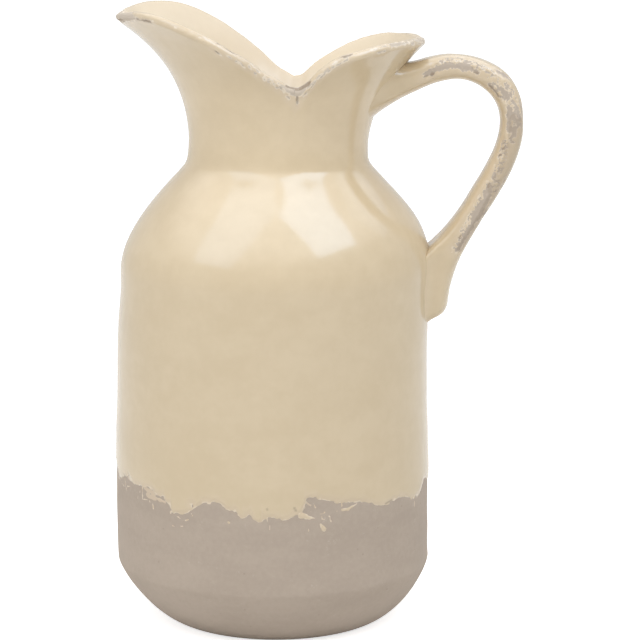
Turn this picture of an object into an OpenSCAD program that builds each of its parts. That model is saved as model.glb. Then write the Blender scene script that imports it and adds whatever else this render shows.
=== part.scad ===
// Stoneware jug with a two-lobed mouth and one strap handle, glazed down to a bare foot.
// The foot stands on z = 0 with its middle at the origin. The pouring lobe points to -X
// and the handle to +X.

/* [Body] */
// Diameter of the straight wall
body_d = 156; // [140:1:172]
// Diameter of the flat foot
foot_d = 106; // [94:1:118]
// Height of the rounded edge between the foot and the wall
base_edge_h = 32; // [26:1:38]
// Height at which the wall starts to turn in
shoulder_z = 178; // [165:1:190]
// Height of the shoulder, up to the seat of the neck
shoulder_h = 53; // [48:1:60]
// Thickness of the thrown clay
wall_t = 6; // [5:0.5:7.5]
// Thickness of the floor
floor_t = 9; // [7:0.5:12]

/* [Neck and mouth] */
// Diameter of the neck
neck_d = 89; // [80:1:96]
// Height of the straight part of the neck
neck_h = 9; // [6:1:14]
// How far the neck stands off the middle of the body, towards the handle
neck_shift = 2.5; // [0:0.5:4]
// Reach of the pouring lip from the middle of the neck
spout_reach = 80; // [72:1:90]
// Rise of the pouring lobe above the straight neck
spout_rise = 65; // [56:1:74]
// Reach of the rear lobe from the middle of the neck
rear_reach = 71; // [64:1:76]
// Rise of the rear lobe above the straight neck
rear_rise = 50; // [44:1:56]
// Reach of the two notches from the middle of the neck
notch_reach = 52.5; // [48:0.5:57]
// Rise of the two notches above the straight neck
notch_rise = 27; // [22:1:32]
// Direction of each notch, from the handle's side
notch_angle = 81; // [74:1:90]
// Thickness of the clay at the rim
rim_t = 4; // [3:0.5:5]

/* [Handle] */
// Width of the strap, across the jug
strap_w = 22; // [18:1:26]
// Thickness of the strap
strap_t = 10; // [8:0.5:12]
// How far the loop's centre line stands out from the wall of the body
loop_out = 40; // [36:1:50]
// Height above the straight neck at which the strap leaves the mouth's underside
root_rise = 29; // [24:1:33]
// Rise of the loop's crest above its root
crest_rise = 10; // [7:1:14]
// Drop of the tail's lower end below the start of the shoulder
tail_drop = 20; // [14:1:28]
// Length of the tail that is pressed down the wall
tail_l = 22; // [16:1:28]
// Thickness of the wad of clay under the tail
wad_t = 3; // [2:0.5:4.5]
// Width of the wad under the tail
wad_w = 42; // [34:1:48]
// Length of the wad under the tail
wad_l = 30; // [24:1:36]
// Depth of the wad tucked under the strap's root
root_wad_t = 6; // [4:0.5:8]

/* [Glaze] */
// Thickness of the coats of glaze
coat_t = 0.6; // [0.4:0.1:1]
// Mean height of the ragged lower edge of the outer coat
edge_z = 72; // [60:1:90]
// Height from the lowest drip of that edge to its highest bay
edge_wave = 12; // [6:1:18]

/* [Hidden] */
$fn = 96;

// Sizes worked out from the driving ones
body_r = body_d / 2;
foot_r = foot_d / 2;
neck_r = neck_d / 2;
seat_z = shoulder_z + shoulder_h;
waist_z = seat_z + neck_h;
root_z = waist_z + root_rise;
crest_z = root_z + crest_rise;
landing_z = shoulder_z - tail_drop + tail_l;
lean_h = 3 * neck_h;
overrun = coat_t;
clay_colour = [0.69, 0.64, 0.58];
glaze_colour = [0.86, 0.80, 0.68];

// Shares that shape the curves: how fast the base swells, the shoulder falls in, and the
// mouth flares at its rear and at its lip
base_share = 0.69;
shoulder_share = 1.62;
rear_flare_share = 1.6;
lip_flare_share = 2.3;
// The same count of steps follows each curve of the body's outline
outline_steps = 14;

// Rim of each lobe from the notch to its tip: place, reach and rise, as shares
spout_shares = [[0, 0, 0], [0.08, 0.04, 0.13], [0.16, 0.16, 0.28], [0.25, 0.35, 0.48],
                [0.39, 0.62, 0.78], [0.55, 0.86, 0.97], [0.70, 0.94, 1.00],
                [0.85, 0.98, 0.95], [1, 1, 0.88]];
rear_shares = [[0, 0, 0], [0.07, 0.20, 0.20], [0.14, 0.42, 0.40], [0.26, 0.78, 0.74],
               [0.44, 1.00, 0.97], [0.70, 1.00, 1.00], [1, 1, 1]];
// Columns of the mouth, from the handle round to one notch and from there to the lip
rear_steps = 12;
spout_steps = 16;
// Rows of the flare, as shares of its height
flare_shares = [0, 0.12, 0.26, 0.40, 0.54, 0.67, 0.79, 0.89, 0.95, 1];
// Turns of the half round along the rim, in degrees
rim_turns = [36, 72, 108, 144];

// Strap's centre line from its root to its tail: place along it, way out from the wall of
// the body as a share of loop_out, or back to the root as a share of that distance, and
// height above the landing as a share of the crest's, or below it as a share of tail_l
strap_shares = [[0.00, -1.00, 0.89], [0.10, -0.32, 0.965], [0.17, 0.12, 0.998],
                [0.21, 0.31, 1.00], [0.267, 0.56, 0.978], [0.315, 0.745, 0.932],
                [0.357, 0.87, 0.872], [0.40, 0.965, 0.806], [0.46, 1.00, 0.69],
                [0.53, 0.93, 0.57], [0.595, 0.81, 0.459], [0.67, 0.635, 0.337],
                [0.755, 0.435, 0.204], [0.80, 0.335, 0.135], [0.84, 0.26, 0.06],
                [0.885, 0.20, -0.10], [0.935, 0.155, -0.48], [1, 0.13, -1]];
strap_rings = 36;
strap_sides = 16;
// Rings that close the end of the tail in a round, as places along the strap
tail_shares = [0.97, 0.985, 0.995, 1];
// Squareness of the strap's section, where 1 is an ellipse
strap_square_share = 0.8;
// How much the strap thickens at its root, thins and spreads at its tail, and draws in at
// the rounded end
root_swell_share = 0.6;
tail_thin_share = 0.3;
tail_spread_share = 0.25;
tail_end_share = 0.55;

// Height of the ragged edge round the body: turn from +X in degrees, and share of its wave
edge_shares = [[0, 0.45], [24, 0.30], [47, 0.75], [70, 0.35], [95, 0.85], [118, 0.20],
               [140, 0.55], [163, 0.90], [185, 1.00], [208, 0.95], [224, 0.80], [237, 0.15],
               [251, 0.80], [266, 0.00], [281, 0.35], [289, 0.90], [300, 0.25], [309, 0.55],
               [325, 0.40], [337, 0.10], [360, 0.45]];
edge_steps = 120;

// Smooth curve through the rows of a table: column c at place x of column 0
function row_at(table, x, i = 0) =
    i >= len(table) - 2 || x <= table[i + 1][0] ? i : row_at(table, x, i + 1);
function steep(table, c, i) =
    let (a = max(i - 1, 0), b = min(i + 1, len(table) - 1))
    (table[b][c] - table[a][c]) / (table[b][0] - table[a][0]);
function curve(table, c, x) =
    let (i = row_at(table, x),
         gap = table[i + 1][0] - table[i][0],
         u = (x - table[i][0]) / gap)
    table[i][c] * (1 + 2 * u) * pow(1 - u, 2)
    + steep(table, c, i) * gap * u * pow(1 - u, 2)
    + table[i + 1][c] * u * u * (3 - 2 * u)
    + steep(table, c, i + 1) * gap * u * u * (u - 1);

function reversed(points) = [for (i = [len(points) - 1 : -1 : 0]) points[i]];

// Triangles between rings of equal length, with the last ring joined to the first if loop
function skin_faces(rings, points, loop) =
    [for (i = [0 : rings - (loop ? 1 : 2)], j = [0 : points - 1])
        let (a = i * points + j,
             b = i * points + (j + 1) % points,
             c = ((i + 1) % rings) * points + (j + 1) % points,
             d = ((i + 1) % rings) * points + j)
        each [[a, b, c], [a, c, d]]];

// Closed solid through a list of rings
module skin(rings, loop = false) {
    points = len(rings[0]);
    last = (len(rings) - 1) * points;
    caps = loop ? [] : [[for (j = [points - 1 : -1 : 0]) j],
                        [for (j = [0 : points - 1]) last + j]];
    polyhedron(points = [for (ring = rings) each ring],
               faces = concat(skin_faces(len(rings), points, loop), caps));
}

// Outline of the body, as distance from its middle and height. Depth is measured inwards
// from the outer face of the clay, square to it.
function base_r(z) = foot_r + (body_r - foot_r) * pow(z / base_edge_h, base_share);
function base_outline() =
    [for (i = [0 : outline_steps])
        let (z = base_edge_h * pow(i / outline_steps, 1 / base_share))
        [base_r(z), z]];
function shoulder_outline(depth) =
    [for (i = [0 : outline_steps])
        let (u = i / outline_steps,
             fall = (body_r - neck_r) * shoulder_share * pow(u, shoulder_share - 1),
             turn = atan2(fall, shoulder_h))
        [body_r - (body_r - neck_r) * pow(u, shoulder_share) - depth * cos(turn),
         shoulder_z + shoulder_h * u - depth * sin(turn)]];

// Inside of the body from the floor up, at a depth past the clay's inner face
function inside_outline(depth) =
    let (floor_z = floor_t + depth,
         inner_r = body_r - wall_t - depth,
         corner_r = foot_r - depth,
         edge_h = base_edge_h + wall_t - floor_z)
    concat([[0, floor_z]],
           [for (i = [0 : outline_steps])
               let (u = i / outline_steps)
               [corner_r + (inner_r - corner_r) * u,
                floor_z + edge_h * pow(u, 1 / base_share)]],
           shoulder_outline(wall_t + depth),
           [[neck_r - wall_t - depth, seat_z]]);

// Thrown clay of the body, from the foot to the seat of the neck
module body() {
    color(clay_colour)
        rotate_extrude()
            polygon(concat([[0, 0]], base_outline(), shoulder_outline(0),
                           reversed(inside_outline(0))));
}

// Coat of glaze inside the body
module liner_glaze() {
    color(glaze_colour)
        rotate_extrude()
            polygon(concat(inside_outline(0), reversed(inside_outline(coat_t))));
}

// Solid that reaches past the coat all round, up to the ragged edge
module below_edge() {
    skin([for (i = [0 : edge_steps - 1])
             let (a = 360 * i / edge_steps,
                  z = edge_z + edge_wave * (curve(edge_shares, 1, a) - 0.5),
                  inner = body_r - overrun,
                  outer = body_r + coat_t + overrun)
             [for (p = [[inner, base_edge_h], [outer, base_edge_h], [outer, z], [inner, z]])
                 [p[0] * cos(a), p[0] * sin(a), p[1]]]], loop = true);
}

// Coat of glaze on the outside of the body, from the neck down to the ragged edge
module outer_glaze() {
    shoulder_top = shoulder_outline(-coat_t)[outline_steps];
    color(glaze_colour)
        difference() {
            rotate_extrude()
                polygon(concat([[body_r, base_edge_h + overrun],
                                [body_r + coat_t, base_edge_h + overrun]],
                               [for (p = shoulder_outline(-coat_t)) if (p[1] < seat_z) p],
                               [[shoulder_top[0] + coat_t / 2, seat_z]],
                               reversed(shoulder_outline(0))));
            below_edge();
            lower_wad_form(0);
            strap(0);
        }
}

// Mouth at a turn from the handle's side: reach and height of the rim's outer edge
function fold(a) = a > 180 ? 360 - a : a;
function rim_at(a) =
    let (t = fold(a),
         lip = t > notch_angle,
         u = lip ? (t - notch_angle) / (180 - notch_angle) : (notch_angle - t) / notch_angle,
         table = lip ? spout_shares : rear_shares,
         reach = lip ? spout_reach : rear_reach,
         rise = lip ? spout_rise : rear_rise)
    [notch_reach + (reach - notch_reach) * curve(table, 1, u),
     waist_z + notch_rise + (rise - notch_rise) * curve(table, 2, u)];
function flare_share(a) =
    rear_flare_share + (lip_flare_share - rear_flare_share) * (1 - cos(a)) / 2;
function lean_at(z) = neck_shift * min(1, max(0, (z - seat_z) / lean_h));

// Face of the collar's clay over the handle at a height, less a level depth into the wall
function collar_x(z, depth) =
    neck_shift + neck_r - depth
    + (rear_reach - neck_r) * pow(max(0, z - waist_z) / rear_rise, rear_flare_share);

// Point of the collar at a turn and a share of the flare's height, moved in from the outer
// face by a depth and on past the rim by a step
function collar_point(a, s, depth, step = 0) =
    let (rim = rim_at(a),
         p = flare_share(a),
         out = rim[0] - neck_r,
         high = rim[1] - waist_z,
         turn = s > 0 ? atan2(out * p * pow(s, p - 1), high) : 0,
         r = neck_r + out * pow(s, p) - depth * cos(turn) + step * sin(turn),
         z = waist_z + high * s + depth * sin(turn) + step * cos(turn))
    [r * cos(a) + lean_at(z), r * sin(a), z];
function seat_point(a, depth) =
    [(neck_r - depth) * cos(a), (neck_r - depth) * sin(a), seat_z];

// Thickness of the clay at a share of the flare's height
function clay_t(s) = wall_t + (rim_t - wall_t) * s;

// Outline of the collar at one turn, grown by a coat: up the outside, over, down the inside
function collar_up(a, coat) =
    concat([seat_point(a, -coat)], [for (s = flare_shares) collar_point(a, s, -coat)]);
function collar_over(a, coat) =
    [for (turn = rim_turns)
        let (half = rim_t / 2 + coat)
        collar_point(a, 1, rim_t / 2 - half * cos(turn), half * sin(turn))];
function collar_down(a, coat) =
    concat([for (s = reversed(flare_shares)) collar_point(a, s, clay_t(s) + coat)],
           [seat_point(a, wall_t + coat)]);
function collar_section(a, coat) =
    concat(collar_up(a, coat), collar_over(a, coat), collar_down(a, coat));

// Turns of the mouth's columns, with one at each notch
half_turns = concat([for (i = [0 : rear_steps - 1]) notch_angle * i / rear_steps],
                    [for (i = [0 : spout_steps - 1])
                        notch_angle + (180 - notch_angle) * i / spout_steps]);
turns = concat(half_turns, [for (a = reversed(concat(half_turns, [180]))) if (a > 0) 360 - a]);

// Neck and mouth, thrown apart and pulled into two lobes with a notch on each side
module collar() {
    color(clay_colour)
        skin([for (a = turns) collar_section(a, 0)], loop = true);
}

// Coat of glaze over the collar, outside and in
module collar_glaze() {
    color(glaze_colour)
        difference() {
            skin([for (a = turns)
                     concat(collar_section(a, coat_t), reversed(collar_section(a, 0)))],
                 loop = true);
            strap(0);
            upper_wad_form(0);
        }
}

// Everything inside the outer face of the collar, grown by a coat, for cutting what
// lands on it. It goes straight up from the rim to a flat top.
module collar_form(coat) {
    top_z = waist_z + spout_rise + rim_t;
    rim = [for (a = turns) collar_point(a, 1, -coat)];
    skin(concat([[for (p = rim) [p[0], p[1], top_z]]],
                [for (p = [len(flare_shares) : -1 : 0]) [for (a = turns) collar_up(a, coat)[p]]]));
}

// Everything inside the outer face of the body's wall and shoulder, grown by a coat
module body_form(coat) {
    rotate_extrude()
        polygon(concat([[0, base_edge_h], [body_r + coat, base_edge_h]],
                       shoulder_outline(-coat), [[0, seat_z]]));
}

// Strap's centre line at a place from 0 at its root to 1 at its tail. Its first section
// leans as the neck's wall does there.
root_lean = -atan2(collar_x(root_z + rim_t, 0) - collar_x(root_z, 0), rim_t);
root_back = body_r - collar_x(root_z, wall_t / 2);
strap_route = [for (row = strap_shares)
    [row[0], body_r + row[1] * (row[1] > 0 ? loop_out : root_back),
     landing_z + row[2] * (row[2] > 0 ? crest_z - landing_z : tail_l)]];
function strap_middle(u) = [curve(strap_route, 1, u), curve(strap_route, 2, u)];

// Ring of the strap at a place, grown by a coat
function strap_ring(u, coat) =
    let (past = strap_middle(min(1, u + 1 / strap_rings)),
         before = strap_middle(max(0, u - 1 / strap_rings)),
         along = atan2(past[1] - before[1], past[0] - before[0]),
         cap = u == 1 ? coat : 0,
         here = strap_middle(u) + cap * [cos(along), sin(along)],
         root = pow(max(0, 1 - 5 * u), 2),
         turn = along + (root_lean - along) * root,
         tail = pow(max(0, 4 * u - 3), 2),
         end = max(0, (u - tail_shares[0]) / (1 - tail_shares[0])),
         draw = sqrt(1 - tail_end_share * pow(end, 2)),
         thick = strap_t / 2 * (1 + root_swell_share * root - tail_thin_share * tail) * draw + coat,
         wide = strap_w / 2 * (1 + tail_spread_share * tail) * draw + coat)
    [for (j = [0 : strap_sides - 1])
        let (a = 360 * j / strap_sides,
             across = sign(cos(a)) * pow(abs(cos(a)), strap_square_share) * wide,
             up = sign(sin(a)) * pow(abs(sin(a)), strap_square_share) * thick)
        [here[0] - up * sin(turn), -across, here[1] + up * cos(turn)]];

// Whole sweep of the strap, before its ends are cut to what they land on
module strap(coat) {
    skin(concat([for (i = [0 : strap_rings - 1])
                    strap_ring(tail_shares[0] * i / strap_rings, coat)],
                [for (u = tail_shares) strap_ring(u, coat)]));
}

// Clay strap, luted to the neck at its root and pressed down the wall at its tail
module handle() {
    color(clay_colour)
        difference() {
            strap(0);
            collar_form(0);
            body_form(0);
            lower_wad_form(0);
        }
}

// Wad of clay between the tail and the wall
module lower_wad_form(coat) {
    wad_r = wad_w;
    wad_x = body_r + wad_t + coat - wad_r;
    corner = wad_l / 4;
    intersection() {
        translate([wad_x, 0, landing_z - tail_l - wad_l])
            cylinder(r = wad_r, h = 3 * wad_l);
        translate([0, 0, landing_z - tail_l / 2])
            rotate([90, 0, 90])
                linear_extrude(body_d)
                    hull()
                        for (y = [-1, 1], z = [-1, 1])
                            translate([y * (wad_w / 2 - corner), z * (wad_l / 2 - corner)])
                                circle(corner + coat, $fn = 32);
    }
}
module lower_handle_wad() {
    color(clay_colour)
        difference() {
            lower_wad_form(0);
            body_form(0);
        }
}

// Wad of clay tucked under the strap's root, against the neck
module upper_wad_form(coat) {
    low_z = root_z - strap_t / 2 - root_wad_t;
    tip = strap_middle(strap_shares[1][0]);
    foot = [collar_x(low_z, 0), low_z];
    tip_low = tip - [0, strap_t / 2];
    // Shares that hollow the wad's underside between the neck and its tip
    hollow_shares = [[0.35, 0.28], [0.7, 0.62]];
    rotate([90, 0, 0])
        linear_extrude(strap_w * 0.8 + 2 * coat, center = true)
            polygon(concat([[collar_x(low_z, wall_t / 2), low_z - coat],
                            foot - [0, coat]],
                           [for (p = hollow_shares)
                               [foot[0] + (tip_low[0] - foot[0]) * p[0],
                                foot[1] + (tip_low[1] - foot[1]) * p[1] - coat]],
                           [tip_low - [0, coat], tip, [collar_x(root_z, wall_t / 2), root_z]]));
}
module upper_handle_wad() {
    color(clay_colour)
        difference() {
            upper_wad_form(0);
            collar_form(0);
            strap(0);
        }
}

// Coat of glaze over the strap and its two wads
module handle_glaze() {
    color(glaze_colour)
        difference() {
            union() {
                strap(coat_t);
                upper_wad_form(coat_t);
                lower_wad_form(coat_t);
            }
            strap(0);
            upper_wad_form(0);
            lower_wad_form(0);
            collar_form(coat_t);
            body_form(coat_t);
        }
}

body();
collar();
handle();
upper_handle_wad();
lower_handle_wad();
outer_glaze();
collar_glaze();
handle_glaze();
liner_glaze();
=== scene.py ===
# Stoneware jug: thrown clay under coats of cream glaze that end in a ragged, worn edge.
# Shapes are worked out in millimetres and turned to metres when a mesh is made.
import bpy
import math
import mathutils
import numpy as np
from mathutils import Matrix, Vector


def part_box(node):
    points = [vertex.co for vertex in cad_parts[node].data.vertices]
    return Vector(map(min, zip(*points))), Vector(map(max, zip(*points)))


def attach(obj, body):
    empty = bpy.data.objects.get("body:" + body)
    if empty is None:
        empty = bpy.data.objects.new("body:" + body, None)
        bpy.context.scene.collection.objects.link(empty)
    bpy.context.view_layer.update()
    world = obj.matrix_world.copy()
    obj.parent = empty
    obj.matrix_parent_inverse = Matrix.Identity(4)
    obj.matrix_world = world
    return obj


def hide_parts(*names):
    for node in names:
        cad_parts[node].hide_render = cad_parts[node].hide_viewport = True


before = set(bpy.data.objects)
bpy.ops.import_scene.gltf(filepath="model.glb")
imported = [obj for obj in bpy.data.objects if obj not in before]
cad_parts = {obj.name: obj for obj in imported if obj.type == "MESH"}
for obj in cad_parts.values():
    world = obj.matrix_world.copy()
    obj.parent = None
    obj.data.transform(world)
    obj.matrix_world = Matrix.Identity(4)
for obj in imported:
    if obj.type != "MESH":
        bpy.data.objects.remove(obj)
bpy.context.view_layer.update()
mm = 0.001
bodyLow, bodyHigh = (np.array(corner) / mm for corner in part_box("body"))
print("frame loaded, body is", np.round(bodyHigh - bodyLow, 1), "mm")


# Camera: the photograph's view, from the side with the near notch
view = {
    "turn": 1.2,            # degrees round the jug
    "distance": 1240.0,     # level distance from the middle of the jug
    "height": 385.0,
    "sideways": 23.0,       # towards the handle, so that the jug stands left of the middle
    "tilt": 10.68,          # degrees down
    "lens": 140.6,
    "sensor": 36.0,
}


def addCamera():
    turn = math.radians(view["turn"])
    data = bpy.data.cameras.new("camera")
    data.lens = view["lens"]
    data.sensor_width = view["sensor"]
    data.clip_end = 60
    camera = bpy.data.objects.new("camera", data)
    bpy.context.scene.collection.objects.link(camera)
    camera.location = (
        (math.cos(turn) * view["sideways"] + math.sin(turn) * view["distance"]) * mm,
        (math.sin(turn) * view["sideways"] - math.cos(turn) * view["distance"]) * mm,
        view["height"] * mm,
    )
    camera.rotation_euler = (math.radians(90 - view["tilt"]), 0, turn)
    bpy.context.scene.camera = camera


addCamera()
bpy.context.scene.view_settings.view_transform = "Standard"


# Curves, noise and meshes

def curveThrough(rows, column, place):
    # Hermite curve through the rows, its slope at each row taken from the two beside it
    table = np.asarray(rows, float)
    x, y = table[:, 0], table[:, column]
    i = np.arange(len(x))
    before, after = np.maximum(i - 1, 0), np.minimum(i + 1, len(x) - 1)
    slope = (y[after] - y[before]) / (x[after] - x[before])
    i = np.clip(np.searchsorted(x, place, side="right") - 1, 0, len(x) - 2)
    gap = x[i + 1] - x[i]
    u = np.clip((place - x[i]) / gap, 0, 1)
    return (y[i] * (1 + 2 * u) * (1 - u) ** 2 + slope[i] * gap * u * (1 - u) ** 2
            + y[i + 1] * u ** 2 * (3 - 2 * u) + slope[i + 1] * gap * u ** 2 * (u - 1))


def ease(low, high, value):
    # 0 below low, 1 above high, and a smooth step between them
    u = np.clip((value - low) / (high - low), 0, 1)
    return u * u * (3 - 2 * u)


shuffle = np.random.default_rng(7).permutation(256)


def softNoise(points, size, seed):
    # Value noise from -1 to 1: a fixed random number at each corner of a lattice, eased between
    place = np.asarray(points) / size + seed * 17.3
    cell = np.floor(place).astype(int)
    part = place - cell
    part = part * part * (3 - 2 * part)
    total = 0
    for corner in range(8):
        step = np.array([corner & 1, corner >> 1 & 1, corner >> 2 & 1])
        key = cell + step
        key = shuffle[(shuffle[(shuffle[key[..., 0] & 255] + key[..., 1]) & 255] + key[..., 2]) & 255]
        total = total + key / 255 * np.prod(np.where(step == 1, part, 1 - part), axis=-1)
    return 2 * total - 1


def layeredNoise(points, size, seed, layers=3):
    # Sum of noises, each of half the size and half the strength of the one before
    return sum(softNoise(points, size / 2 ** i, seed + i) / 2 ** i for i in range(layers))


def stack(*parts):
    return np.stack(np.broadcast_arrays(*parts), axis=-1)


def lengthAlong(points):
    # Distance along a line of points, from its first
    return np.concatenate([[0], np.cumsum(np.linalg.norm(np.diff(points, axis=0), axis=1))])


def meshFromRings(name, rings, material, loop=False, marks=None):
    # Quads between rings of points. The last ring joins the first, or both ends close to a
    # middle point. Faces are turned round if the volume comes out negative.
    count, points = rings.shape[:2]
    verts = rings.reshape(-1, 3)
    i, j = np.meshgrid(np.arange(count if loop else count - 1), np.arange(points), indexing="ij")
    after, beside = (i + 1) % count, (j + 1) % points
    quads = stack(i * points + j, i * points + beside, after * points + beside, after * points + j)
    quads = quads.reshape(-1, 4)
    tris = np.zeros((0, 3), int)
    if not loop:
        verts = np.concatenate([verts, [rings[0].mean(0), rings[-1].mean(0)]])
        side = np.arange(points)
        nextSide = (side + 1) % points
        start, end = count * points, (count - 1) * points
        tris = np.concatenate([stack(nextSide, side, np.full(points, start)),
                               stack(end + side, end + nextSide, np.full(points, start + 1))])
    corners = verts - verts.mean(0)
    volume = 0
    for face in (quads[:, [0, 1, 2]], quads[:, [0, 2, 3]], tris):
        a, b, c = (corners[face[:, k]] for k in range(3))
        volume += np.einsum("ij,ij->", a, np.cross(b, c))
    if volume < 0:
        quads, tris = quads[:, ::-1], tris[:, ::-1]

    mesh = bpy.data.meshes.new(name)
    mesh.vertices.add(len(verts))
    mesh.vertices.foreach_set("co", (verts * mm).astype(np.float32).ravel())
    mesh.loops.add(quads.size + tris.size)
    mesh.loops.foreach_set("vertex_index", np.concatenate([quads.ravel(), tris.ravel()]).astype(np.int32))
    sizes = np.concatenate([np.full(len(quads), 4), np.full(len(tris), 3)])
    mesh.polygons.add(len(sizes))
    mesh.polygons.foreach_set("loop_start", (np.cumsum(sizes) - sizes).astype(np.int32))
    mesh.polygons.foreach_set("use_smooth", np.ones(len(sizes), bool))
    mesh.update(calc_edges=True)
    for mark, values in (marks or {}).items():
        values = values.ravel()
        if not loop:
            values = np.concatenate([values, values[[0, -1]]])
        mesh.attributes.new(mark, "FLOAT", "POINT").data.foreach_set("value", values.astype(np.float32))
    mesh.materials.append(material)
    mesh.validate()
    piece = bpy.data.objects.new(name, mesh)
    bpy.context.scene.collection.objects.link(piece)
    print(name, "has", 2 * len(quads) + len(tris), "triangles")
    return piece


def settle(piece, node):
    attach(piece, "root")
    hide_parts(node)


# Materials

def plug(tree, socket, value):
    # A link from another socket, or else a plain value
    if isinstance(value, bpy.types.NodeSocket):
        tree.links.new(value, socket)
    else:
        socket.default_value = value


def addNode(tree, kind, inputs=None, **settings):
    node = tree.nodes.new(kind)
    for key, value in settings.items():
        setattr(node, key, value)
    for key, value in (inputs or {}).items():
        plug(tree, node.inputs[key], value)
    return node


def maths(tree, operation, first, second):
    return addNode(tree, "ShaderNodeMath", {0: first, 1: second}, operation=operation).outputs[0]


def times(tree, first, second):
    return maths(tree, "MULTIPLY", first, second)


def band(tree, value, low, high):
    # 0 at low and 1 at high, eased
    return addNode(tree, "ShaderNodeMapRange", {"Value": value, "From Min": low, "From Max": high},
                   interpolation_type="SMOOTHSTEP").outputs[0]


def noise(tree, place, scale, detail=2.0, rough=0.5):
    return addNode(tree, "ShaderNodeTexNoise", {"Vector": place, "Scale": scale, "Detail": detail,
                                                "Roughness": rough}).outputs[0]


def mixColour(tree, amount, first, second, blend="MIX"):
    inputs = {0: amount, 6: first, 7: second}
    return addNode(tree, "ShaderNodeMix", inputs, data_type="RGBA", blend_type=blend).outputs[2]


def newGroup(name, inputs, outputs):
    group = bpy.data.node_groups.new(name, "ShaderNodeTree")
    for label, kind, value in inputs:
        socket = group.interface.new_socket(label, in_out="INPUT", socket_type="NodeSocket" + kind)
        if value is not None:
            socket.default_value = value
    for label, kind in outputs:
        group.interface.new_socket(label, in_out="OUTPUT", socket_type="NodeSocket" + kind)
    return group, group.nodes.new("NodeGroupInput").outputs, group.nodes.new("NodeGroupOutput")


def useGroup(tree, group, **inputs):
    return addNode(tree, "ShaderNodeGroup", inputs, node_tree=group).outputs


def makeGrain():
    # Two noises, one coarse and one fine, as a tone about 0 and as a height
    group, given, result = newGroup(
        "grain", [("Vector", "Vector", None), ("Coarse", "Float", 60.0), ("Fine", "Float", 900.0),
                  ("Flatten", "Float", 1.0)], [("Tone", "Float"), ("Height", "Float")])
    squash = addNode(group, "ShaderNodeCombineXYZ", {0: 1.0, 1: 1.0, 2: given["Flatten"]})
    spread = addNode(group, "ShaderNodeVectorMath", {0: given["Vector"], 1: squash.outputs[0]},
                     operation="MULTIPLY")
    coarse = noise(group, spread.outputs[0], given["Coarse"], 3.0, 0.55)
    fine = noise(group, given["Vector"], given["Fine"], 2.0, 0.6)
    both = maths(group, "ADD", times(group, coarse, 0.65), times(group, fine, 0.35))
    group.links.new(maths(group, "SUBTRACT", both, 0.5), result.inputs["Tone"])
    group.links.new(fine, result.inputs["Height"])
    return group


def makeFlecks():
    # Scattered small dark spots, as a mask
    group, given, result = newGroup(
        "flecks", [("Vector", "Vector", None), ("Scale", "Float", 200.0), ("Amount", "Float", 0.1)],
        [("Mask", "Float")])
    spots = addNode(group, "ShaderNodeTexVoronoi", {"Vector": given["Vector"], "Scale": given["Scale"]})
    pick = addNode(group, "ShaderNodeSeparateColor", {0: spots.outputs["Color"]})
    chosen = maths(group, "LESS_THAN", pick.outputs[0], given["Amount"])
    near = band(group, spots.outputs["Distance"], 0.28, 0.1)
    group.links.new(times(group, chosen, near), result.inputs["Mask"])
    return group


def makeWornEdge():
    # Where a coat of glaze thins out: a pale broken line along its border, and the bare clay
    # beyond it, from the distance to that border in millimetres
    group, given, result = newGroup(
        "worn edge", [("Vector", "Vector", None), ("Distance", "Float", 5.0), ("Width", "Float", 1.0),
                      ("Break", "Float", 260.0)], [("Pale", "Float"), ("Bare", "Float")])
    broken = noise(group, given["Vector"], given["Break"])
    reach = times(group, band(group, broken, 0.38, 0.62), given["Width"])
    inside = maths(group, "DIVIDE", given["Distance"], maths(group, "ADD", reach, 0.12))
    group.links.new(band(group, inside, 1.15, 0.45), result.inputs["Pale"])
    group.links.new(band(group, given["Distance"], 0.12, -0.12), result.inputs["Bare"])
    return group


clayLook = {
    "Taupe": (0.455, 0.38, 0.31, 1),
    "Shade": (0.41, 0.34, 0.275, 1),
    "Light": (0.51, 0.44, 0.37, 1),
    "Dark": (0.24, 0.19, 0.15, 1),
    "broad": {"Coarse": 26.0, "Fine": 420.0, "Flatten": 2.5},
    "grain": {"Coarse": 240.0, "Fine": 1500.0, "Flatten": 1.0},
    "specks": {"Scale": 420.0, "Amount": 0.02},
    "speckStrength": 0.3,
    "roughness": 0.82,
    "bump": {"Strength": 0.25, "Distance": 0.0004},
}
clayTones = {key: clayLook[key] for key in ("Taupe", "Shade", "Light", "Dark")}


def makeClayTone():
    # Bare stoneware: taupe with paler and darker grain and a few dark specks
    group, given, result = newGroup(
        "clay tone", [("Vector", "Vector", None), ("Taupe", "Color", None), ("Shade", "Color", None),
                      ("Light", "Color", None), ("Dark", "Color", None)],
        [("Color", "Color"), ("Height", "Float")])
    broad = useGroup(group, grain, Vector=given["Vector"], **clayLook["broad"])
    fine = useGroup(group, grain, Vector=given["Vector"], **clayLook["grain"])
    specks = useGroup(group, flecks, Vector=given["Vector"], **clayLook["specks"])
    colour = mixColour(group, band(group, broad["Tone"], -0.2, 0.2), given["Shade"], given["Taupe"])
    colour = mixColour(group, band(group, fine["Tone"], 0.08, 0.3), colour, given["Light"])
    dark = times(group, specks["Mask"], clayLook["speckStrength"])
    colour = mixColour(group, dark, colour, given["Dark"])
    group.links.new(colour, result.inputs["Color"])
    group.links.new(fine["Tone"], result.inputs["Height"])
    return group


grain = makeGrain()
flecks = makeFlecks()
wornEdge = makeWornEdge()
clayTone = makeClayTone()


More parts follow.
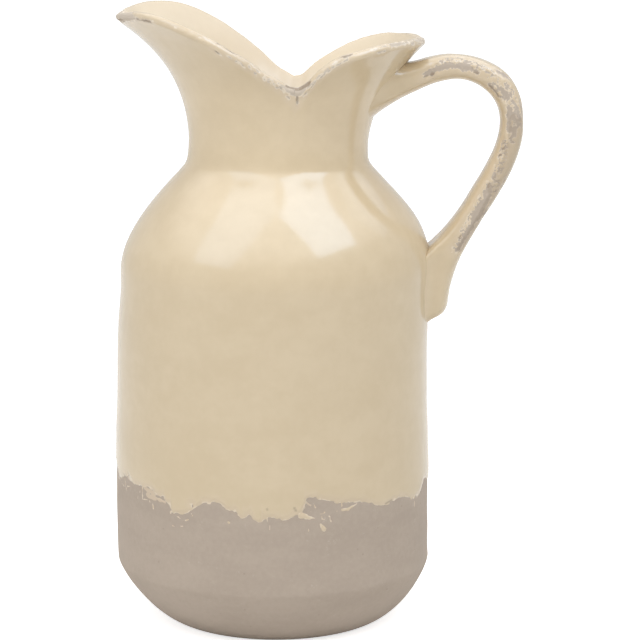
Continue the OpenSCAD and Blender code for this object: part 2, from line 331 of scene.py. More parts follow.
glazeLook = {
    "cream": (0.675, 0.56, 0.39, 1),
    "pooled": (0.635, 0.52, 0.352, 1),
    "thin": (0.555, 0.455, 0.335, 1),
    "worn": (0.66, 0.545, 0.42, 1),
    "rim": (0.72, 0.61, 0.485, 1),
    "pale": (0.80, 0.71, 0.59, 1),
    "stain": (0.34, 0.27, 0.20, 1),
    "veil": (0.78, 0.70, 0.58, 1),
    "grain": {"Coarse": 22.0, "Fine": 140.0, "Flatten": 2.2},
    "specks": {"Scale": 75.0, "Amount": 0.012},
    "speckStrength": 0.4,
    # Height in metres and strength: painted light and shade, lighter round the shoulder and neck and
    # darker low on the wall, for how the light falls there
    "paintedLightByHeight": [(0.150, 0.955), (0.195, 1.0), (0.235, 1.07), (0.262, 1.06), (0.285, 0.98)],
    "inside": 0.2,              # how far it turns pale inside the mouth: painted light, for the brighter light and reflections there
    "border": 0.35,             # how far it takes the worn or the rim colour near its border
    "borderReach": 5.0,         # millimetres
    "raggedScale": 850.0,       # of the noise that moves the border
    "brokenScale": 330.0,       # of the one that breaks the pale line there
    "patchyScale": 620.0,       # of the one that leaves thin glaze on the bare clay
    "roughness": 0.13,
    "satin": 0.2,               # how much rougher it is inside the mouth
    "bareRoughness": 0.75,
    "ior": 1.45,
    "bump": {"Strength": 0.05, "Distance": 0.0006},
}


def newMaterial(name, preview):
    material = bpy.data.materials.new(name)
    material.use_nodes = True
    material.diffuse_color = preview
    tree = material.node_tree
    place = tree.nodes.new("ShaderNodeTexCoord").outputs["Object"]
    return material, tree, tree.nodes["Principled BSDF"], place


def addBump(tree, shader, height, look):
    bump = addNode(tree, "ShaderNodeBump", {"Height": height, **look["bump"]})
    tree.links.new(bump.outputs[0], shader.inputs["Normal"])


def veiled(amount):
    # The clay's tones with a veil of thin glaze over them
    veil = np.array(glazeLook["veil"])
    return {key: tuple(veil * amount + np.array(tone) * (1 - amount)) for key, tone in clayTones.items()}


def paintedLightTone(tree, place):
    # A grey that follows the height, from the table in the glaze's settings: painted light and shade by
    # height
    steps = glazeLook["paintedLightByHeight"]
    low, high = steps[0][0], steps[-1][0]
    height = addNode(tree, "ShaderNodeSeparateXYZ", {0: place}).outputs[2]
    share = addNode(tree, "ShaderNodeMapRange", {"Value": height, "From Min": low, "From Max": high})
    ramp = addNode(tree, "ShaderNodeValToRGB", {"Fac": share.outputs[0]})
    ramp.color_ramp.interpolation = "EASE"
    stops = ramp.color_ramp.elements
    for level, strength in steps[1:-1]:
        stops.new((level - low) / (high - low))
    for stop, (level, strength) in zip(stops, steps):
        stop.color = (strength, strength, strength, 1)
    return ramp.outputs[0]


def wornCoat(tree, place, colour, pale, width, ragged, veil, border, risen):
    # Colour and roughness of a coat with a border. Pale is the strength of the line along it and
    # width its reach in millimetres. Ragged is how far fine noise moves the border, and veil how
    # much glaze is left on the bare clay. A coat with painted light takes painted light and shade by
    # height outside the mouth.
    margin, thin, stain, satin = (
        addNode(tree, "ShaderNodeAttribute", attribute_name=mark).outputs["Fac"]
        for mark in ("margin", "thin", "stain", "satin"))
    covered = maths(tree, "SUBTRACT", 1.0, thin)
    # Painted light and shade by height, outside the mouth
    if risen:
        outside = maths(tree, "SUBTRACT", 1.0, satin)
        colour = mixColour(tree, outside, colour, paintedLightTone(tree, place), blend="MULTIPLY")
    moved = maths(tree, "SUBTRACT", noise(tree, place, glazeLook["raggedScale"]), 0.5)
    margin = maths(tree, "ADD", margin, times(tree, moved, ragged))
    worn = useGroup(tree, wornEdge, Vector=place, Distance=margin, Width=width,
                    Break=glazeLook["brokenScale"])

    colour = mixColour(tree, thin, colour, glazeLook["thin"])
    # Painted light: paler inside the mouth, for the brighter light and reflections there
    colour = mixColour(tree, times(tree, satin, glazeLook["inside"]), colour, glazeLook["pale"])
    near = times(tree, band(tree, margin, glazeLook["borderReach"], 0.5), glazeLook["border"])
    colour = mixColour(tree, near, colour, glazeLook[border])
    line = times(tree, times(tree, worn["Pale"], pale), covered)
    colour = mixColour(tree, line, colour, glazeLook["pale"])

    clay = useGroup(tree, clayTone, Vector=place, **veiled(veil))
    patchy = noise(tree, place, glazeLook["patchyScale"], 3.0)
    patchy = maths(tree, "ADD", patchy, times(tree, margin, 0.05))
    left = times(tree, band(tree, patchy, 0.54, 0.62), veil)
    bare = mixColour(tree, left, clay["Color"], glazeLook["pale"])
    colour = mixColour(tree, times(tree, worn["Bare"], covered), colour, bare)
    # Stains, and in places painted shade: the strap's darker outer half and the crescent at the near
    # notch
    colour = mixColour(tree, stain, colour, glazeLook["stain"])

    smooth = maths(tree, "ADD", glazeLook["roughness"], times(tree, satin, glazeLook["satin"]))
    rough = addNode(tree, "ShaderNodeMapRange", {"Value": worn["Bare"], "To Min": smooth,
                                                 "To Max": glazeLook["bareRoughness"]})
    return colour, rough.outputs[0]


def makeGlaze(name, **marked):
    # Glaze, and where it is marked the settings of its worn places
    material, tree, shader, place = newMaterial(name, glazeLook["cream"])
    soft = useGroup(tree, grain, Vector=place, **glazeLook["grain"])
    specks = useGroup(tree, flecks, Vector=place, **glazeLook["specks"])
    thick = band(tree, soft["Tone"], -0.16, 0.2)
    colour = mixColour(tree, thick, glazeLook["pooled"], glazeLook["cream"])
    dark = times(tree, specks["Mask"], glazeLook["speckStrength"])
    colour = mixColour(tree, dark, colour, glazeLook["stain"])
    rough = glazeLook["roughness"]
    if marked:
        colour, rough = wornCoat(tree, place, colour, **marked)
    plug(tree, shader.inputs["Roughness"], rough)
    plug(tree, shader.inputs["Base Color"], colour)
    shader.inputs["IOR"].default_value = glazeLook["ior"]
    addBump(tree, shader, soft["Height"], glazeLook)
    return material


def makeClay(name):
    material, tree, shader, place = newMaterial(name, clayLook["Taupe"])
    clay = useGroup(tree, clayTone, Vector=place, **clayTones)
    plug(tree, shader.inputs["Base Color"], clay["Color"])
    shader.inputs["Roughness"].default_value = clayLook["roughness"]
    addBump(tree, shader, clay["Height"], clayLook)
    return material


# The wall and mouth glazes take painted light and shade by height
wallGlaze = makeGlaze(
    "wall glaze", pale=0.5, width=0.8, ragged=1.2, veil=0.0, border="worn", risen=True)
mouthGlaze = makeGlaze(
    "mouth glaze", pale=0.75, width=0.9, ragged=1.8, veil=0.4, border="rim", risen=True)
strapGlaze = makeGlaze(
    "strap glaze", pale=0.5, width=0.6, ragged=2.6, veil=0.12, border="worn", risen=False)
linerGlaze = makeGlaze("liner glaze")
bareClay = makeClay("bare clay")
print("materials made")


# How a coat lies on the clay. Its margin is the distance in millimetres to its border, above
# zero where there is glaze.
coat = {
    "thick": 0.6, "wash": 0.12,     # full glaze, and the thin film on the clay
    "under": 1.2,                   # how far its inner face lies in the clay
    "sunk": -0.35, "worn": 0.04,    # its level where it is worn away: in the clay, or just on it
    "edge": (-0.3, 0.35),           # margins between which the first half of it rises
    "slope": (0.2, 2.8),            # and the other half
    # Broken roll along its edge: height, margin, half width and size of its unevenness
    "curl": 0.12, "curlAt": 0.75, "curlWide": 0.45, "curlSize": 3.5,
}


def coatHeight(margin, thin, points, bare):
    # At a bare level where it is worn away, up over its edge in a slight roll, then level
    half = 0.5 * (coat["thick"] - bare)
    height = bare + half * ease(*coat["edge"], margin) + half * ease(*coat["slope"], margin)
    roll = np.exp(-((margin - coat["curlAt"]) / coat["curlWide"]) ** 2)
    roll = roll * ease(-0.5, 0.6, softNoise(points, coat["curlSize"], 31))
    return (height + coat["curl"] * roll) * (1 - thin) + coat["wash"] * thin


def addMarks(margin, across, along, marks, bare):
    # Each mark is a stroke between two places: across and along at each end, then its half
    # width, or one for each end. It takes glaze away where bare, and adds it elsewhere.
    for x0, y0, x1, y1, *half in marks:
        dx, dy = x1 - x0, y1 - y0
        share = np.clip(((across - x0) * dx + (along - y0) * dy) / max(dx * dx + dy * dy, 1e-9), 0, 1)
        away = np.hypot(across - x0 - share * dx, along - y0 - share * dy)
        away = away - half[0] - (half[-1] - half[0]) * share
        margin = np.minimum(margin, away) if bare else np.maximum(margin, -away)
    return margin


def roundTheJug(marks, scale):
    # The same marks with their turns in millimetres
    return [[first * scale, low, last * scale, high, *half] for first, low, last, high, *half in marks]


def roughness(points, layers):
    # Sum of noises, each with its size, its strength and its seed
    return sum(strength * softNoise(points, size, seed) for size, strength, seed in layers)


# Mask of dark strokes: stains, and in places painted shade
def stainMask(across, along, marks, rough):
    away = addMarks(np.full(np.broadcast(across, along).shape, 9.0), across, along, marks, bare=True)
    return ease(0.35, -0.25, away + 0.5 * rough)


def coatMesh(name, material, outer, inner, margin, **marks):
    # One loop of the outer and the inner face. The marks are those of the outer face, and the
    # inner one has plain glaze, satin where the coat has such a mark.
    marks = {"margin": np.clip(margin, -3, 6), **marks}
    plain = {"margin": 6.0, "satin": 1.0}
    marks = {mark: np.concatenate([values, np.full(inner.shape[:2], plain.get(mark, 0.0))])
             for mark, values in marks.items()}
    return meshFromRings(name, np.concatenate([outer, inner]), material, loop=True, marks=marks)


# Body: a thrown pot, nearly straight in the wall and hollow in its shoulder, a little uneven
pot = {
    "foot": 52.3, "edgeHeight": 30.0, "edgeShape": (1.25, 0.66),
    "wall": bodyHigh[0], "belly": 1.3, "bellyHeights": (135.0, 55.0),
    "shoulder": 178.0, "shoulderShare": 1.62, "neck": 44.1, "seat": bodyHigh[2],
    "join": 3.0,            # how softly the shoulder turns up into the neck
    "lap": 0.04,            # how far the two coats there dip under each other
    "thick": 6.0, "floor": 9.0,
    "sway": [[0, 1.0], [10, 0.4], [22, -0.6], [40, -1.2], [165, -1.0], [200, 0.9], [232, 2.0],
             [250, 2.4], [330, 2.5]],
    # Hollows and swellings: turn and height of the middle, half width round and up, height
    "dents": [[180, 172, 70, 17, -2.3], [0, 202, 60, 15, 2.2], [95, 120, 50, 30, -0.5],
              [180, 140, 60, 30, -0.5]],
    "columns": 420, "linerColumns": 260, "ripple": 0.24,
    "hollow": (0.25, 0.35), "turning": (0.18, 1.35),    # of the underside, and its fine rings
}


def potRadius(z):
    # The foot edge is a squarish oval, the wall swells a little downwards, the shoulder falls
    # in by a power of its height, and it turns up into the neck along a hyperbola
    wall = pot["wall"] + pot["belly"] * ease(*pot["bellyHeights"], z)
    first, second = pot["edgeShape"]
    u = np.clip(z / pot["edgeHeight"], 0, 1)
    low = pot["foot"] + (wall - pot["foot"]) * (1 - (1 - u) ** first) ** second
    rise = np.clip((z - pot["shoulder"]) / (pot["seat"] - pot["shoulder"]), 0, 1.5)
    past = low - (pot["wall"] - pot["neck"]) * rise ** pot["shoulderShare"] - pot["neck"]
    return pot["neck"] + (past + np.sqrt(past ** 2 + pot["join"] ** 2 * (rise > 0))) / 2


def potDent(turn, z):
    total = 0
    for middle, level, wide, high, depth in pot["dents"]:
        away = (np.degrees(turn) - middle + 180) % 360 - 180
        total = total + depth * np.exp(-(away / wide) ** 2 - ((z - level) / high) ** 2)
    return total


def sway(z):
    return curveThrough(pot["sway"], 1, z)


def ripple(turn, z):
    # Faint throwing rings and unevenness, alike on both sides of the joint with the neck
    flat = stack(60 * np.cos(turn), 60 * np.sin(turn), z)
    return pot["ripple"] * (softNoise(flat * [0.25, 0.25, 1], 11, 3) + 1.2 * softNoise(flat, 34, 5))


def potLean(z):
    # Slope of the outer outline, and the level share of a step square to it
    slope = (potRadius(z + 0.25) - potRadius(np.maximum(z - 0.25, 0))) / (0.25 + np.minimum(z, 0.25))
    return slope, 1 / np.sqrt(1 + slope ** 2)


def potPoint(turn, z, height=0.0):
    # Point of the outer face at a turn in radians, raised square to it by a height
    slope, lean = potLean(z)
    radius = potRadius(z) + potDent(turn, z)
    out = radius + (height + ripple(turn, z) * ease(0, 20, z)) * lean
    return stack(out * np.cos(turn) + sway(z), out * np.sin(turn), z - height * slope * lean)


def potInside(depth):
    # Inner outline from the floor up: the outer one moved in by the clay's thickness
    gone = pot["thick"] + depth
    floor = pot["floor"] + depth
    z = np.concatenate([np.linspace(0, pot["edgeHeight"], 14), np.linspace(40, pot["shoulder"], 12),
                        np.linspace(pot["shoulder"] + 3, pot["seat"], 18)])
    slope, lean = potLean(z)
    wall = stack(potRadius(z) - gone * lean, z + gone * slope * lean)
    wall = wall[(wall[:, 1] > floor + 1) & (wall[:, 1] < pot["seat"])]
    flat = stack(np.linspace(2, wall[0, 0] - 1.5, 8), np.full(8, floor))
    return np.concatenate([flat, wall, [[pot["neck"] - gone, pot["seat"]]]])


def turned(outline, columns):
    # Rings of a turned shape, with each ring's middle where the pot sways to
    turn = np.linspace(0, 2 * np.pi, columns, endpoint=False)
    r, z = outline[:, :1], outline[:, 1:]
    return stack(r * np.cos(turn) + sway(z), r * np.sin(turn), z)


def makeBody():
    turn = np.linspace(0, 2 * np.pi, pot["columns"], endpoint=False)
    r = np.linspace(2, pot["foot"] - 1.2, 22)
    high, often = pot["turning"]
    rise, deeper = pot["hollow"]
    rings = high * np.sin(r * often) * ease(4, 9, r) * ease(50, 44, r)
    under = turned(stack(r, rise + rings + deeper * ease(46, 40, r)), pot["columns"])
    edge = turned(np.array([[pot["foot"] - 0.9, 0.05], [pot["foot"] - 0.4, 0.0]]), pot["columns"])
    z = np.concatenate([np.linspace(0.1, 1, 7), np.linspace(1.6, 40, 44),
                        np.linspace(42, pot["seat"], 72)])
    outer = potPoint(turn[None, :], z[:, None])
    inside = turned(potInside(0.0)[::-1], pot["columns"])
    return meshFromRings("thrown_body", np.concatenate([under, edge, outer, inside]), bareClay)


# Lower edge of the outer coat: turn in degrees from the handle, seen from above, and height.
# From 180 to 360 it is the side that the photograph shows.
glazeEdge = {
    "rows": [[0, 71], [12, 73], [24, 69], [33, 70], [47, 75], [58, 73], [70, 69.5], [82, 72],
             [95, 76.5], [104, 74], [118, 67.5], [129, 70], [140, 72.5], [152, 76], [163, 77],
             [172, 75.5], [180, 77], [186, 79.5], [194, 77.5], [197, 75], [206, 78.3], [210, 77.3],
             [214, 76.2], [219, 77], [223.5, 77], [226.8, 74.8], [229.9, 74.3], [231.6, 72],
             [233.7, 70.9], [234.6, 68.1], [239.5, 68], [241.6, 69], [243.3, 71.3], [245.8, 73.2],
             [248.1, 75.4], [250.5, 75.4], [252.4, 76], [254.2, 74.3], [256.4, 72.5], [258.6, 72.1],
             [260.6, 70], [261.5, 68.4], [262.9, 70.1], [264.3, 70.6], [265.7, 68.1], [266.8, 66.7],
             [268.5, 66.7], [269.2, 68.4], [271.3, 69.2], [274.1, 68.7], [275.9, 67.7], [278.4, 69.1],
             [280.8, 70.4], [282.6, 71.2], [283.4, 73], [283.9, 77], [285.1, 78.5], [287.3, 78.4],
             [288.4, 77.4], [291, 76.9], [293.7, 76.1], [296, 74.9], [300.7, 74.1], [303.7, 73.4],
             [305.8, 73.3], [309.8, 71.1], [313.2, 69.8], [316.7, 69.4], [320.5, 70.4], [325.3, 70.8],
             [330.9, 68.4], [335, 67.4], [339, 67.8], [342.3, 70], [345, 73.5], [350, 72.5],
             [355, 70.5], [360, 71]],
    # Glaze that hangs on below the edge, and clay that shows above it
    "flakes": [[282.3, 70.4, 287.3, 68.3, 1.7, 0.25], [284.2, 69.0, 286.4, 68.5, 1.2, 0.5],
               [297.3, 75.0, 297.4, 71.0, 0.45], [297.8, 71.2, 299.7, 71.0, 0.8, 0.95],
               [299.7, 71.2, 303.6, 73.2, 0.9, 0.35], [289.4, 65.0, 290.4, 62.6, 0.8, 1.4],
               [290.2, 62.6, 291.5, 62.7, 1.0, 0.3], [292.5, 69.0, 293.1, 66.0, 0.35, 0.5],
               [295.4, 71.0, 295.5, 70.6, 0.6], [289.0, 70.3, 290.6, 70.4, 0.3],
               [290.8, 71.0, 290.9, 69.8, 0.35], [291.6, 69.8, 291.7, 68.4, 0.3],
               [289.6, 69.2, 290.0, 67.6, 0.3], [290.4, 67.6, 291.3, 66.6, 0.3],
               [286.7, 75.6, 287.6, 73.6, 0.25, 0.4], [284.8, 73.6, 285.9, 73.2, 0.25],
               [285.0, 72.8, 286.0, 71.6, 0.25, 0.4], [335.3, 66.2, 335.7, 61.8, 0.45, 0.25],
               [285.0, 63.4, 285.0, 62.2, 0.3], [256.8, 66.7, 257.0, 66.5, 0.6],
               [270.6, 69.5, 270.6, 67.0, 0.45, 0.3], [271.3, 65.8, 271.3, 63.6, 0.3],
               [204.1, 76.8, 204.8, 73.0, 0.4, 0.5], [204.8, 73.0, 206.5, 70.8, 0.5, 0.25],
               [206.8, 73.4, 209.2, 74.2, 0.7, 0.4], [195.0, 74.3, 203.8, 72.2, 0.5, 0.3],
               [214.8, 74.6, 215.6, 69.8, 0.3, 0.2], [218.5, 76.7, 218.7, 70.9, 0.4, 0.6],
               [217.2, 75.3, 216.6, 72.6, 0.35, 0.2], [218.7, 70.6, 222.9, 71.4, 0.35, 0.25],
               [222.9, 71.3, 223.2, 70.4, 0.45], [224.8, 69.9, 225.2, 67.7, 0.3, 0.55],
               [235.0, 69.9, 235.3, 67.7, 0.5, 0.4], [233.8, 68.5, 233.8, 67.4, 0.4],
               [235.9, 67.1, 239.4, 64.8, 0.3, 0.35], [240.4, 65.3, 241.7, 65.8, 0.5, 0.35],
               [234.5, 61.4, 236.0, 60.9, 0.5, 0.3], [238.1, 61.9, 239.1, 62.0, 0.4],
               [242.3, 69.8, 243.3, 68.2, 0.4, 0.5]],
    "chips": [[298.3, 73.6, 301.2, 73.0, 0.8, 0.3], [243.0, 73.5, 243.2, 72.6, 0.4],
              [208.0, 79.0, 208.6, 77.9, 0.5]],
    "stains": [[279.9, 74.2, 280.4, 72.8, 0.5, 0.4], [270.4, 74.0, 270.5, 73.6, 0.4],
               [316.4, 70.4, 319.6, 71.2, 0.4, 0.5]],
    # Thin glaze that the clay shines through
    "wash": [[220.0, 76.6, 227.0, 75.4, 1.5], [221.5, 73.6, 226.5, 72.6, 1.3],
             [226.5, 73.4, 231.2, 72.2, 1.3, 0.9], [284.0, 76.8, 285.6, 75.0, 1.3, 0.9],
             [283.5, 75.2, 283.8, 72.6, 0.7], [207.5, 78.2, 212.0, 76.8, 0.8]],
    "stainStrength": 0.6,
    # Noises that roughen the edge: size in millimetres, strength and seed
    "rough": [(2.6, 0.65, 11), (1.3, 0.5, 13)], "fineRough": [(1.2, 0.3, 19)],
    "washRough": [(2.2, 0.7, 17)],
    "hiddenWander": (9, 1.6, 41), "hiddenFlakes": 34, "hiddenChips": 14,
    "low": 57.0, "high": 84.0, "columns": 820,
}


def backOfEdge():
    # Flakes and chips for the side that the photograph doesn't show, in the same style
    pick = np.random.default_rng(23)
    count = glazeEdge["hiddenFlakes"]
    turn, drop = pick.uniform(4, 176, count), pick.uniform(-9, -1.5, count)
    size, lean = pick.uniform(0.35, 0.9, count) ** 1.3, pick.uniform(-1.6, 1.6, (count, 2))
    level = curveThrough(glazeEdge["rows"], 1, turn)
    flakes = stack(turn, level + drop, turn + lean[:, 0], level + drop + lean[:, 1], size)
    count = glazeEdge["hiddenChips"]
    turn, rise = pick.uniform(4, 176, count), pick.uniform(0.8, 3, count)
    size = pick.uniform(0.3, 0.7, count)
    level = curveThrough(glazeEdge["rows"], 1, turn)
    chips = stack(turn, level + rise, turn + 0.4, level + rise - 0.6, size)
    return flakes.tolist(), chips.tolist()


def edgeMargin(turn, z, points):
    # Distance to the ragged edge, roughened by noise, with the flakes and chips. Turns are
    # measured along the wall in millimetres.
    degrees = np.degrees(turn) % 360
    arc = math.radians(1) * pot["wall"]
    hidden = ease(2, 12, degrees) * ease(182, 172, degrees)
    level = curveThrough(glazeEdge["rows"], 1, degrees)
    size, strength, seed = glazeEdge["hiddenWander"]
    level = level + hidden * strength * layeredNoise(points * [1, 1, 0.2], size, seed)
    steep = (curveThrough(glazeEdge["rows"], 1, degrees + 0.3) - level) / (0.3 * arc)
    margin = (z - level) / np.sqrt(1 + np.clip(steep, -2.5, 2.5) ** 2 * (1 - hidden))
    margin = margin + roughness(points, glazeEdge["rough"])
    flakes, chips = backOfEdge()
    across = degrees * arc
    margin = addMarks(margin, across, z, roundTheJug(glazeEdge["flakes"] + flakes, arc), bare=False)
    margin = addMarks(margin, across, z, roundTheJug(glazeEdge["chips"] + chips, arc), bare=True)
    margin = margin + roughness(points, glazeEdge["fineRough"])
    wash = addMarks(np.full_like(margin, -5), across, z, roundTheJug(glazeEdge["wash"], arc), bare=False)
    wash = wash + roughness(points, glazeEdge["washRough"])
    thin = ease(-0.3, 0.5, wash) * ease(0.5, -0.4, margin)
    stain = stainMask(across, z, roundTheJug(glazeEdge["stains"], arc), np.zeros_like(margin))
    return margin, thin, glazeEdge["stainStrength"] * stain


def makeOuterCoat():
    turn = np.linspace(0, 2 * np.pi, glazeEdge["columns"], endpoint=False)[None, :]
    z = np.concatenate([np.linspace(glazeEdge["low"], glazeEdge["high"], 72),
                        np.linspace(glazeEdge["high"] + 4, pot["shoulder"], 12),
                        np.linspace(pot["shoulder"] + 3, pot["seat"] - 9, 13),
                        np.linspace(pot["seat"] - 8, pot["seat"] + 2, 12)])[:, None]
    points = potPoint(turn, z)
    margin, thin, stain = edgeMargin(turn, z, points)
    lap = pot["lap"] * ease(pot["seat"] - 1, pot["seat"] + 1, z)
    outer = potPoint(turn, z, coatHeight(margin, thin, points, coat["sunk"]) - lap)
    back = np.linspace(pot["seat"] + 2, glazeEdge["low"] + 1, 7)[:, None]
    inner = potPoint(turn, back, -coat["under"])
    return coatMesh("outer_coat", wallGlaze, outer, inner, margin, thin=thin, stain=stain)


def makeLiner():
    # A shell whose two skins meet at the neck, each closed in the middle of the floor
    inner = turned(potInside(coat["thick"]), pot["linerColumns"])
    outer = turned(potInside(coat["sunk"])[::-1], pot["linerColumns"])
    return meshFromRings("liner_coat", np.concatenate([inner, outer]), linerGlaze)


# Neck and mouth: two lobes with a notch between them on each side
mouth = {
    "neck": pot["neck"], "waist": 240.0, "seat": pot["seat"] - 2.5,
    "spoutReach": 79.3, "spoutRise": 65.0, "rearReach": 71.2, "rearRise": 50.0,
    "notchReach": 52.5, "notchRise": 27.5, "notch": 79.5,
    "rearFlare": 1.9, "lipFlare": 2.2, "lipBend": 0.22, "bendPower": 2.8,
    "clay": 6.0, "rim": 3.4,
    "swell": 1.4, "swellWide": 26.0,        # thicker half way up beside the notches
    "spout": [[0, 0, 0], [0.035, 0.012, 0.02], [0.08, 0.04, 0.10], [0.16, 0.16, 0.26],
              [0.25, 0.35, 0.46], [0.39, 0.62, 0.765], [0.545, 0.85, 0.965], [0.70, 0.93, 1.0],
              [0.85, 0.97, 0.95], [1, 1, 0.91]],
    "rear": [[0, 0, 0], [0.03, 0.05, 0.03], [0.07, 0.17, 0.15], [0.14, 0.42, 0.38],
             [0.26, 0.78, 0.74], [0.44, 1.0, 0.97], [0.63, 1.0, 1.0], [1, 1, 1]],
    # How far the rim stands above or below that, by turn
    "uneven": [[0, 0.3], [40, -0.6], [60, -1.2], [69, 0.2], [74, 0.8], [80, -0.4], [87, -2.3],
               [93, -3.5], [100, -2.6], [120, -1.6], [145, 0.2], [180, 0.4], [215, -0.6], [235, -1.5],
               [248, -0.8], [258, 0.6], [265, 0.6], [272, 2.6], [278, 3.1], [281, 2.7], [284, 1.9],
               [287, 1.4], [290.5, 2.6], [297, 2.8], [305, 1.2], [320, 0.4], [336, 1.0], [360, 0.3]],
    "columns": 760, "clayColumns": 420,
    "perDegree": 1.05,                      # millimetres of rim for each degree
    "pooled": 0.5, "pooledWide": 24.0,      # darker glaze inside the notches, and its half width
    "waver": [(17, 0.3, 12)],               # size, strength and seed of the flare's unevenness
    "rough": [(2.3, 1.15, 51), (1.2, 0.8, 53)],     # the same of the worn band's borders
    # Worn band along the rim: turn in degrees, half width, and how far it lies to the inside
    "wear": [[0, 1.9, 0.8], [10, 0.9, 0.4], [20, -0.8, 0], [36, -0.7, 0], [46, 0.7, 0.4], [58, 0.9, 0],
             [66, -0.2, 0], [74, 1.4, -0.8], [80, 3.0, -1.6], [86, 1.8, -0.6], [96, 0.6, 0],
             [112, 0.5, 0.6], [124, -0.8, 0], [146, -0.9, 0], [156, 0.3, 0], [166, -0.4, 0],
             [173, 3.2, -0.6], [180, 4.4, -1.0], [198, 4.6, -1.0], [207, 3.6, -0.9], [211, 0.9, -2.2],
             [220, 0.5, -2.5], [223, -0.9, -1.4], [243, -0.9, 0], [247, 0.25, 1.7], [258, 0.2, 1.6],
             [260, -0.4, 0.6], [264, 0.0, -1.2], [270, 0.1, -1.6], [274, 0.4, -1.6], [277, 2.4, -2.0],
             [283, 2.6, -2.2], [286, 0.9, -1.6], [291, 0.3, -1.6], [295, 0.2, -1.2], [300, -0.1, 0.2],
             [306, -0.6, 0], [312, 0.1, 0.2], [317, 0.1, 0.2], [321, 1.3, 0.2], [330, 1.2, 0.2],
             [334, 0.1, 0], [338, -0.5, 0.8], [344, 2.0, 0.8], [350, 2.6, 0.8], [360, 1.9, 0.8]],
    # Small bare strokes: turn, distance from the crest with the inside above zero, the same
    # again, then the half width
    "nicks": [[281.9, -4.6, 282.2, -9.2, 0.5], [246.3, -4.8, 246.4, -5.0, 0.8],
              [251.2, -2.6, 251.8, -2.8, 0.35], [253.4, -3.6, 254.4, -2.6, 0.3],
              [255.6, -2.4, 256.4, -3.8, 0.35, 0.25], [258.6, -1.4, 259.4, -2.2, 0.35],
              [261.0, -3.6, 261.6, -2.4, 0.35], [265.0, -1.8, 265.4, -3.2, 0.3],
              [269.2, -1.8, 270.0, -3.0, 0.3], [271.2, -4.4, 272.0, -4.0, 0.35],
              [288.2, -4.2, 289.4, -2.8, 0.45], [293.6, -1.6, 294.6, -3.0, 0.4],
              [285.2, -5.6, 286.4, -4.4, 0.4], [267.0, -3.0, 267.8, -3.2, 0.35],
              [272.8, -3.2, 274.2, -4.0, 0.45], [277, -6.2, 277.4, -6.6, 0.6],
              [276.8, 3.0, 277.6, 2.9, 0.45], [274.2, 2.6, 275.6, 2.5, 0.4],
              [291.6, -3.4, 292.6, -3.0, 0.6], [297.5, -2.4, 298.2, -2.6, 0.6],
              [295.2, -2.2, 295.8, -2.3, 0.5], [299.8, -1.9, 300.6, -1.9, 0.45],
              [313.5, -2.6, 316.5, -2.8, 0.5], [335.5, -1.2, 337.5, -1.0, 0.6],
              [99, -4.4, 99.6, -5.2, 0.5], [64, -3.2, 66, -3.0, 0.4], [108, -2.2, 111, -2.6, 0.6],
              [52, -2.4, 55, -2.0, 0.6], [29, -1.6, 32, -1.2, 0.5]],
    # Dark stains in the bare clay, in the same measures. The first two are painted shade: the dark
    # crescent just inside the crest at the near notch.
    "stains": [[276.5, 0.3, 281, 0.3, 0.8], [281, 0.3, 286.5, 0.1, 1.25],
               [212.5, -2.8, 220, -3.0, 0.7], [246.5, 1.7, 258, 1.6, 0.4], [298, 1.0, 303, 0.9, 0.35],
               [281.9, -5.2, 282.2, -9.0, 0.6], [246.3, -4.8, 246.4, -5.0, 0.7],
               [186, -3.4, 198, -3.6, 0.4], [76, 0.4, 85, 0.4, 0.8], [347, 2.2, 356, 2.4, 0.5]],
}


def rimAt(degrees):
    # Reach and height of the rim's outer edge, by place between the notch and the lobe's tip
    turn = np.where(degrees > 180, 360 - degrees, degrees)
    lip = turn > mouth["notch"]
    u = np.where(lip, (turn - mouth["notch"]) / (180 - mouth["notch"]),
                 (mouth["notch"] - turn) / mouth["notch"])
    share = [np.where(lip, curveThrough(mouth["spout"], k, u), curveThrough(mouth["rear"], k, u))
             for k in (1, 2)]
    reach = np.where(lip, mouth["spoutReach"], mouth["rearReach"])
    rise = np.where(lip, mouth["spoutRise"], mouth["rearRise"])
    return (mouth["notchReach"] + (reach - mouth["notchReach"]) * share[0],
            mouth["notchRise"] + (rise - mouth["notchRise"]) * share[1]
            + curveThrough(mouth["uneven"], 1, degrees))


def mouthPoint(turn, s, depth, step=0.0):
    # The wall leaves the neck upright and flares as a power of the share of its height, with a
    # later and steeper bend towards the lip. Depth is measured in from the outer face, and a
    # step goes on past the rim.
    reach, rise = rimAt(np.degrees(turn))
    lip = (1 - np.cos(turn)) / 2
    power = mouth["rearFlare"] + (mouth["lipFlare"] - mouth["rearFlare"]) * lip
    late, bend = mouth["bendPower"], mouth["lipBend"] * lip
    above = np.maximum(s, 1e-6)
    flare = above ** power * (1 - bend + bend * above ** late)
    steep = above ** (power - 1) * (power * (1 - bend) + (power + late) * bend * above ** late)
    out = reach - mouth["neck"]
    lean = np.arctan2(out * steep, rise)
    radius = mouth["neck"] + out * flare - depth * np.cos(lean) + step * np.sin(lean)
    z = mouth["waist"] + rise * s + depth * np.sin(lean) + step * np.cos(lean)
    flat = stack(radius * np.cos(turn), radius * np.sin(turn), z)
    radius = radius + ripple(turn, z) + potRadius(z) - pot["neck"]
    wayOut = sway(z)
    z = z + ease(0, 0.2, s) * roughness(flat, mouth["waver"])
    return stack(radius * np.cos(turn) + wayOut, radius * np.sin(turn), z)


def evenTurns(columns):
    # Turns spaced evenly along the rim
    turn = np.linspace(0, 2 * np.pi, 4001)
    length = lengthAlong(mouthPoint(turn, np.ones_like(turn), 0.0))
    return np.interp(np.linspace(0, length[-1], columns, endpoint=False), length, turn)


